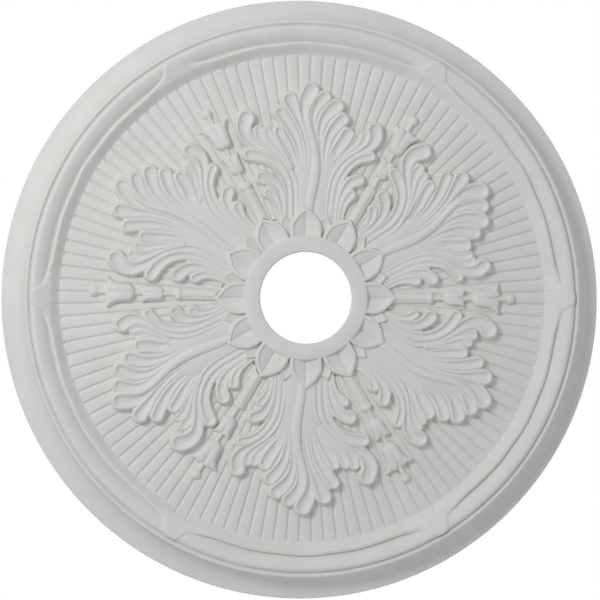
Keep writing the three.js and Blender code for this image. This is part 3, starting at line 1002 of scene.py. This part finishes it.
@dataclass
class Carving:
    """A relief made of strokes, on a fine square grid."""

    name: str
    strokes: list[CarvedStroke]
    low: Point
    high: Point
    cell: float = 0.72
    soften: float = 0.6
    # Share of its border that a finger keeps where it meets its neighbour
    shared_border: float = 0.42
    # A gap between two fingers that is narrower than this is only this deep
    web_gap: float = 3.4
    web_depth: float = 2.0
    # How far the carving is sunk where the petals cover it
    covered_sink: float = 5.0
    # Least height above the buried level at which the relief is kept
    least_relief: float = 0.6

    def spoon_heights(self, xs: np.ndarray, ys: np.ndarray, spoons: list[CarvedStroke]) -> np.ndarray:
        """Carve the hollow fingers, which meet their neighbours in shared ridges.

        Args:
            xs: Places across, as a grid.
            ys: Places along, as a grid.
            spoons: The hollow strokes.

        Returns:
            Heights, far below the field where no finger reaches.
        """
        insides, halves, levels = (np.stack(part) for part in zip(*(one.nearest(xs, ys) for one in spoons)))
        owner = insides.argmax(axis=0)
        ranked = np.sort(insides, axis=0)
        from_neighbour = 0.5 * (ranked[-1] - ranked[-2])
        heights = np.full(xs.shape, BURIED_LEVEL - 1.0)
        for number, spoon in enumerate(spoons):
            mine = (owner == number) & (ranked[-1] > -spoon.wall_reach)
            half = halves[number][mine]
            border = spoon.border_at(half)
            inside = np.minimum(insides[number][mine], from_neighbour[mine] + self.shared_border * border)
            drop = spoon.section(inside, half)
            webbed = (inside < 0.0) & (ranked[-1][mine] + ranked[-2][mine] > -self.web_gap)
            drop[webbed] = np.maximum(drop[webbed], -self.web_depth)
            heights[mine] = levels[number][mine] + drop
        return heights

    def mesh(self) -> bpy.types.Mesh:
        """Carve the strokes and close the relief below.

        Returns:
            The mesh, face up, with its axis on +Y.
        """
        across = np.arange(self.low[0], self.high[0], self.cell)
        along = np.arange(self.low[1], self.high[1], self.cell)
        xs, ys = np.meshgrid(across, along)
        heights = np.full(xs.shape, BURIED_LEVEL - 1.0)
        spoons = [stroke for stroke in self.strokes if stroke.cut is Stroke.SPOON]
        if spoons:
            heights = np.maximum(heights, self.spoon_heights(xs, ys, spoons))
        for rib in (stroke for stroke in self.strokes if stroke.cut is Stroke.RIB):
            inside, half, level = rib.nearest(xs, ys)
            near = inside > -rib.wall_reach
            heights[near] = np.maximum(heights[near], level[near] + rib.section(inside[near], half[near]))
        heights = blurred(heights, self.soften)
        heights -= self.covered_sink * PetalCollar().covers(xs, ys)
        shown = heights > BURIED_LEVEL + self.least_relief
        keep = shown[:-1, :-1] | shown[1:, :-1] | shown[:-1, 1:] | shown[1:, 1:]
        mesh = grid_mesh(self.name, xs, ys, heights, keep)
        close_below(mesh, BURIED_LEVEL - 2.0)
        return mesh


def tapered(line: Sequence[LinePlace], head: float, root: float) -> tuple[Station, ...]:
    """Give a line of places its heights.

    Args:
        line: Places and half widths from the tip to the root.
        head: Height of the edge at the tip.
        root: Height of the edge at the root.

    Returns:
        Stations of a stroke.
    """
    count = len(line) - 1
    return tuple(
        (x, y, half, head + (root - head) * (i / count) ** 0.9) for i, (x, y, half) in enumerate(line)
    )


@dataclass(frozen=True)
class Finger:
    """One hollow finger of a leaf.

    The head and the root are rises above the leaf's own levels for them.
    """

    head: float
    root: float
    hollow: float
    line: tuple[LinePlace, ...]


@dataclass
class AcanthusLeaf:
    """One acanthus leaf: spoon-shaped fingers that spring from bundled stems."""

    head_level: float = 26.4
    root_level: float = 20.6
    fingers: tuple[Finger, ...] = (
        # Left side, from the petals up to the tip
        Finger(-1.6, -0.6, 2.0, (
            (-45, 119, 5.4), (-38.5, 114, 5), (-33.5, 106, 4), (-31, 96, 3.4), (-30, 86, 3),
        )),
        Finger(-1.0, -0.4, 2.4, (
            (-51.5, 137, 7.6), (-44, 134.5, 7), (-36, 128, 5.8), (-31, 118.5, 4.6), (-28.8, 108, 3.6),
            (-28, 86, 3),
        )),
        Finger(-0.6, -0.2, 2.4, (
            (-67, 163, 7), (-57, 162, 6.9), (-46, 159, 6.6), (-37, 153, 6.2), (-29.5, 144, 5.6),
            (-24.3, 133, 5), (-22, 121, 4.4), (-21.4, 105, 4), (-21, 86, 3.6),
        )),
        Finger(0.6, 0.0, 2.8, (
            (-71.8, 205.6, 9.4), (-74.6, 196, 8.8), (-72, 185.4, 7.8), (-63, 176.8, 6.2),
            (-50.5, 170.6, 5.2), (-40, 164.4, 4.8), (-30, 155.6, 4.6), (-21.5, 144.8, 4.6),
            (-16.4, 133, 4.5), (-14.6, 120, 4.2), (-14.4, 105, 4), (-14.4, 86, 3.8),
        )),
        Finger(-1.4, 2.6, 1.6, (
            (-57.5, 192.3, 5.4), (-55, 184, 5.6), (-48.5, 176.5, 5), (-38.5, 169, 4), (-28, 159, 3),
        )),
        Finger(-1.0, 2.6, 1.6, (
            (-47, 191.8, 4.8), (-44.5, 184, 5.4), (-38, 175, 5), (-29.5, 164, 4), (-20.5, 150, 3),
        )),
        Finger(0.0, -0.8, 2.2, (
            (-34, 191.2, 6.3), (-29.6, 182.5, 6.3), (-22.4, 171, 5.4), (-16.6, 159, 3.8),
            (-12.6, 144, 2),
        )),
        Finger(0.2, -0.6, 2.4, (
            (-33, 213, 7), (-26.8, 204.6, 6.8), (-20, 194.4, 6.2), (-14.6, 183.6, 5.2),
            (-10.8, 172, 4.2), (-8, 156, 3.6), (-6.6, 136, 2.4),
        )),
        Finger(0.4, 0.8, 2.6, (
            (-22.6, 229, 8.4), (-17.6, 218.4, 7.2), (-12.2, 208, 5.8), (-7.6, 196.6, 4.7),
            (-4, 184.6, 3.9), (-1.4, 170, 3.6), (0, 152, 3),
        )),
        # The tip
        Finger(0.8, 0.6, 2.8, (
            (1.4, 240.6, 9.4), (-3, 232.6, 8.8), (-6, 223.6, 7.2), (-7.2, 214, 5.2), (-5.6, 204, 3.4),
            (-2.6, 193, 2.4), (0.6, 183, 1.8),
        )),
        # Right side, from the tip down to the petals
        Finger(0.4, 0.6, 2.4, (
            (17, 232.6, 7.6), (10.6, 225.2, 6.7), (6.2, 215.4, 4.8), (5.2, 203.4, 3.6), (7.4, 190.4, 3),
            (10.4, 177, 2.4), (12.4, 165, 2),
        )),
        Finger(0.4, 0.4, 2.6, (
            (31.2, 222.8, 8.4), (24, 216.8, 7.8), (17.4, 208.4, 6.3), (13.6, 197.4, 4.8),
            (12.8, 185, 3.7), (14, 170, 3), (15.4, 152, 2.6),
        )),
        Finger(0.2, 0.3, 2.4, (
            (38.2, 207.4, 7.6), (31.2, 200.2, 7.1), (25.2, 191, 6.2), (21.6, 181, 5), (19.2, 167, 3.8),
            (17.8, 146, 2.8),
        )),
        Finger(0.0, -0.4, 2.4, (
            (44.4, 190.4, 7.6), (40, 182, 7.8), (33.6, 173, 7), (26.8, 161.5, 5.2), (21.8, 145, 3),
        )),
        Finger(-1.2, 0.8, 1.5, (
            (56.6, 189, 4.6), (55, 181.8, 4.9), (49.2, 175, 4.7), (41.6, 167.6, 3.6), (34.4, 159, 1.8),
        )),
        Finger(-1.0, 1.2, 1.5, (
            (64.6, 188.6, 4.6), (62.8, 181.4, 4.7), (56.2, 174.6, 4.2), (47.8, 168.4, 3.2),
            (40, 161, 1.8),
        )),
        Finger(0.6, 0.0, 2.6, (
            (75.6, 196.6, 8.2), (76.4, 187.4, 7.8), (72, 178.6, 6.6), (63.4, 172.2, 5.2),
            (53.6, 166.2, 4.6), (44.6, 159, 4.3), (36.8, 150.2, 4.1), (31, 140.4, 3.9),
            (27.4, 128, 3.7), (25.4, 113, 3.5), (24.6, 100, 3.3), (24, 86, 3),
        )),
        Finger(-0.6, -0.2, 2.2, (
            (71.6, 164.6, 5.4), (62, 162.6, 5.2), (53.6, 158.6, 4.8), (46.4, 151.6, 4.4), (40, 142, 4),
            (35.2, 131, 3.7), (32.6, 119, 3.3), (31.2, 105, 3), (30.4, 86, 3),
        )),
        Finger(-1.0, -0.4, 2.3, (
            (57.6, 136.6, 7), (50.4, 134, 6.6), (44, 127, 5.4), (39.6, 118, 4.2), (36.8, 107.5, 3.5),
            (35.4, 96, 3), (35, 86, 3),
        )),
        Finger(-1.6, -0.6, 1.9, (
            (49.4, 119, 5.8), (45, 114, 5.2), (41.4, 106.5, 4.3), (39.4, 98, 3.6), (38.6, 86, 3),
        )),
    )
    midrib: tuple[LinePlace, ...] = (
        (9, 234, 2), (5, 229, 2.2), (0.6, 222, 2.4), (-1.4, 213, 2.6), (-0.6, 202, 3), (2.8, 190, 3.3),
        (6.6, 176, 3.7), (8.6, 162, 4.1), (9, 150, 4.4), (8, 138, 4.6), (6, 125, 4.5), (3.8, 113, 4.3),
        (2.6, 100, 4), (2.4, 86, 3.6),
    )
    midrib_head: float = 0.4
    midrib_root: float = 2.4
    midrib_hollow: float = 1.4
    # Low plain blades beside the midrib, which the fingers sink into
    blades: tuple[tuple[LinePlace, ...], ...] = (
        (
            (-5, 176, 4), (-4.2, 162, 7.4), (-4.5, 148, 9.2), (-4.6, 140, 9), (-4.6, 130, 8.2),
            (-5, 119, 7.2), (-6, 105, 6.4), (-6.2, 86, 6.2),
        ),
        (
            (25, 177, 4.4), (24, 163, 8.8), (22.2, 150, 10.4), (19.9, 140, 9), (17.3, 128, 8),
            (15.1, 113, 7.8), (14, 100, 8), (13.6, 86, 8),
        ),
    )
    blade_level: float = 21.1
    blade_hollow: float = 1.2
    low: Point = (-93, 84)
    high: Point = (93, 258)
    crease: float = 85.0
    root: float = 88.0
    # Each leaf was set one by one: degrees off its even place, and length as a share of the drawn one
    turns: tuple[float, ...] = (1.6, -1.1, -0.7, -0.6, -0.6, 0.5)
    lengths: tuple[float, ...] = (0.972, 0.971, 1.005, 0.988, 0.970, 0.963)

    def strokes(self) -> list[CarvedStroke]:
        """Work out every stroke of the leaf.

        Returns:
            The fingers, the midrib and the blades beside it.
        """
        made = []
        for finger in self.fingers:
            stations = tapered(finger.line, self.head_level + finger.head, self.root_level + finger.root)
            made.append(CarvedStroke(stations, hollow=finger.hollow))
        head, root = self.head_level + self.midrib_head, self.root_level + self.midrib_root
        made.append(CarvedStroke(tapered(self.midrib, head, root), Stroke.RIB, hollow=self.midrib_hollow))
        for blade in self.blades:
            stations = tapered(blade, self.blade_level, self.blade_level)
            made.append(CarvedStroke(stations, Stroke.RIB, hollow=self.blade_hollow))
        return made

    def build(self, copies: CircularCopies, finish: bpy.types.Material) -> list[bpy.types.Object]:
        """Carve the leaf once and set one in every sector.

        Args:
            copies: The copying tree.
            finish: The material.

        Returns:
            The six leaf pieces.
        """
        mesh = Carving("acanthus_leaf", self.strokes(), self.low, self.high).mesh()
        pitch = 360.0 / SECTORS
        pieces = []
        for number, (turn, length) in enumerate(zip(self.turns, self.lengths)):
            own = stretched(mesh, self.root, length)
            turned = copies.spread(own, 1, (number + 0.5) * pitch + turn, pitch, finish)
            pieces.append(hang(f"acanthus_leaf_{number + 1}", turned, finish, self.crease))
        return pieces


@dataclass
class HuskDrop:
    """One drop between two leaves: reeded stem, bar, two husks and a ball."""

    level: float = REED_LEVEL
    stem: tuple[tuple[float, float, float], ...] = ((-4.2, 1.5, 3.6), (0.0, 3.3, 5.2), (4.2, 1.5, 3.6))
    stem_places: tuple[float, ...] = (139, 122, 98)
    stem_hollow: float = 1.4
    # Strokes on the axis, the bar first: hollow, then the stations with rises above the reeds
    middle: tuple[tuple[float, tuple[Station, ...]], ...] = (
        (2.6, ((-2.4, 143, 3.9, 6.2), (0, 143, 4.1, 6.6), (2.4, 143, 3.9, 6.2))),
        (1.4, ((0, 160, 2.3, 4.2), (0, 152, 2.3, 4.2), (0, 144, 2.3, 4.2))),
        (1.4, ((0, 195, 2.4, 4.2), (0, 186, 2.4, 4.2), (0, 178, 2.4, 4.2))),
        (1.4, ((0, 232, 2.6, 4.6), (0, 226, 2.6, 4.6), (0, 216, 2.6, 4.6))),
    )
    # Lobe and horn of the upper husk and then of the lower, drawn for one side of the axis
    sides: tuple[tuple[float, tuple[Station, ...]], ...] = (
        (1.9, (
            (5.4, 217.3, 4.9, 7.6), (4.5, 210.0, 5.1, 8.8), (3.2, 203.5, 5.3, 9.0), (1.4, 199.4, 6.9, 8.6),
        )),
        (1.6, (
            (16.6, 221.0, 0.7, 5.6), (13.2, 219.6, 1.8, 6.4), (9.4, 216.8, 3.3, 7.4), (6.4, 211.0, 3.4, 7.4),
        )),
        (1.6, ((3.6, 178.4, 3.3, 6.4), (3.0, 173.0, 4.1, 7.4), (1.0, 166.0, 5.9, 7.2))),
        (1.0, ((9.0, 182.0, 0.7, 5.0), (7.0, 180.4, 1.5, 5.8), (5.2, 177.2, 2.3, 6.6))),
    )
    low: Point = (-24, 94)
    high: Point = (24, 246)
    cell: float = 0.5
    soften: float = 0.8
    crease: float = 85.0
    ball_radius: float = 6.1
    ball_centre: float = 236.0
    ball_sink: float = 0.4
    ball_crease: float = 50.0
    root: float = 98.0
    # Each drop was set one by one: degrees off its even place, and length as a share of the drawn one
    turns: tuple[float, ...] = (-0.2, -1.6, -1.7, -1.7, -2.0, -0.8)
    lengths: tuple[float, ...] = (1.005, 1.015, 1.0, 1.022, 0.988, 0.991)

    def strokes(self) -> list[CarvedStroke]:
        """Work out every stroke of the drop.

        Returns:
            The strokes.
        """
        drawn = []
        for place, half, rise in self.stem:
            drawn.append((self.stem_hollow, tuple((place, y, half, rise) for y in self.stem_places)))
        drawn.extend(self.middle)
        for side in (-1, 1):
            for hollow, stations in self.sides:
                drawn.append((hollow, tuple((side * x, *rest) for x, *rest in stations)))
        made = []
        for hollow, stations in drawn:
            raised = tuple((x, y, half, self.level + rise) for x, y, half, rise in stations)
            made.append(CarvedStroke(raised, Stroke.RIB, hollow=hollow))
        return made

    def build(self, copies: CircularCopies, finish: bpy.types.Material) -> list[bpy.types.Object]:
        """Carve the drop and its ball and set one in every sector.

        Args:
            copies: The copying tree.
            finish: The material.

        Returns:
            The drop pieces and the balls.
        """
        carving = Carving("husk_drop", self.strokes(), self.low, self.high, self.cell, self.soften)
        pitch = 360.0 / SECTORS
        drop = carving.mesh()
        ball = bmesh.new()
        place = Matrix.Translation(Vector((0.0, self.ball_centre, self.level - self.ball_sink)) * MILLIMETRE)
        bmesh.ops.create_uvsphere(
            ball, u_segments=36, v_segments=20, radius=self.ball_radius * MILLIMETRE, matrix=place
        )
        mesh = bpy.data.meshes.new("drop_ball")
        ball.to_mesh(mesh)
        ball.free()
        forms = (("husk_drop", drop, self.crease), ("drop_ball", mesh, self.ball_crease))
        pieces = []
        for number, (turn, length) in enumerate(zip(self.turns, self.lengths)):
            for name, drawn, crease in forms:
                own = stretched(drawn, self.root, length)
                turned = copies.spread(own, 1, number * pitch + turn, pitch, finish)
                pieces.append(hang(f"{name}_{number + 1}", turned, finish, crease))
        return pieces


@dataclass
class Studio:
    """Pale floor, soft light and the camera under the rose."""

    distance: float = 1.925
    focal_pixels: float = 1677.4
    azimuth: float = 5.523
    elevation: float = -1.479
    roll: float = 0.07
    aside: Point = (0.00449, 0.00190)
    floor_level: float = -2.6
    floor_half: float = 6.0
    image_pixels: float = 600.0
    sensor_width: float = 36.0
    surround_light: float = 0.54
    key_distance: float = 1.9
    key_slant: float = 40.0
    key_turn: float = 148.0
    key_size: float = 0.5
    key_power: float = 12.6

    def camera(self) -> bpy.types.Object:
        """Set the camera at the photograph's viewing angle.

        Returns:
            The camera.
        """
        lens = bpy.data.cameras.new("camera")
        lens.sensor_width = self.sensor_width
        lens.sensor_fit = "HORIZONTAL"
        lens.lens = self.focal_pixels / self.image_pixels * lens.sensor_width
        camera = bpy.data.objects.new("camera", lens)
        bpy.context.scene.collection.objects.link(camera)
        tilt = (
            Matrix.Rotation(math.radians(self.roll), 4, "Z")
            @ Matrix.Rotation(math.radians(self.elevation), 4, "X")
            @ Matrix.Rotation(math.radians(self.azimuth), 4, "Y")
        )
        seen = Matrix.Translation((self.aside[0], self.aside[1], -self.distance)) @ tilt
        face_up = seen.inverted()
        camera.matrix_world = Matrix.Rotation(math.pi, 4, "X") @ face_up
        bpy.context.scene.camera = camera
        return camera

    def lights(self) -> None:
        """Add the soft light and a pale surround."""
        world = bpy.data.worlds.new("studio")
        world.use_nodes = True
        nodes, links = world.node_tree.nodes, world.node_tree.links
        surround = nodes["Background"]
        surround.inputs["Color"].default_value = (1.0, 1.0, 1.0, 1.0)
        seen = nodes.new("ShaderNodeLightPath")
        strength = nodes.new("ShaderNodeMapRange")
        strength.inputs["To Min"].default_value = self.surround_light
        strength.inputs["To Max"].default_value = 1.0
        links.new(seen.outputs["Is Camera Ray"], strength.inputs["Value"])
        links.new(strength.outputs["Result"], surround.inputs["Strength"])
        bpy.context.scene.world = world
        slant, turn = math.radians(self.key_slant), math.radians(self.key_turn)
        place = (
            self.key_distance * math.sin(slant) * math.cos(turn),
            -self.key_distance * math.sin(slant) * math.sin(turn),
            -self.key_distance * math.cos(slant),
        )
        self.softbox("key", place, self.key_size, self.key_power)
        bpy.context.scene.view_settings.view_transform = "Standard"

    def softbox(self, name: str, place: tuple[float, float, float], size: float, power: float) -> None:
        """Add one square area light aimed at the rose.

        Args:
            name: The light's name.
            place: Where it stands.
            size: Its side in metres.
            power: Its power in watts.
        """
        lamp = bpy.data.lights.new(name, "AREA")
        lamp.size = size
        lamp.energy = power
        light = bpy.data.objects.new(name, lamp)
        light.location = place
        light.rotation_euler = (-Vector(place)).to_track_quat("-Z", "Y").to_euler()
        bpy.context.scene.collection.objects.link(light)

    def floor(self) -> None:
        """Lay the pale floor well below the rose."""
        mesh = bpy.data.meshes.new("floor")
        half = self.floor_half
        corners = [(-half, -half), (half, -half), (half, half), (-half, half)]
        mesh.from_pydata([(x, y, self.floor_level) for x, y in corners], [], [(0, 1, 2, 3)])
        mesh.materials.append(StudioFloorFinish().build())
        floor = bpy.data.objects.new("floor", mesh)
        bpy.context.scene.collection.objects.link(floor)


def main() -> None:
    """Build the studio and the rose, piece by piece."""
    logging.basicConfig(level=logging.INFO, format="%(name)s %(message)s")
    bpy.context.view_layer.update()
    studio = Studio()
    studio.camera()
    studio.lights()
    studio.floor()
    finish = CastFoamFinish().build()
    copies = CircularCopies()
    TurnedBody().build(finish)
    CuspedRibbon().build(finish)
    ReededField().build(copies, finish)
    PetalCollar().build(copies, finish)
    AcanthusLeaf().build(copies, finish)
    HuskDrop().build(copies, finish)


if __name__ == "__main__":
    main()
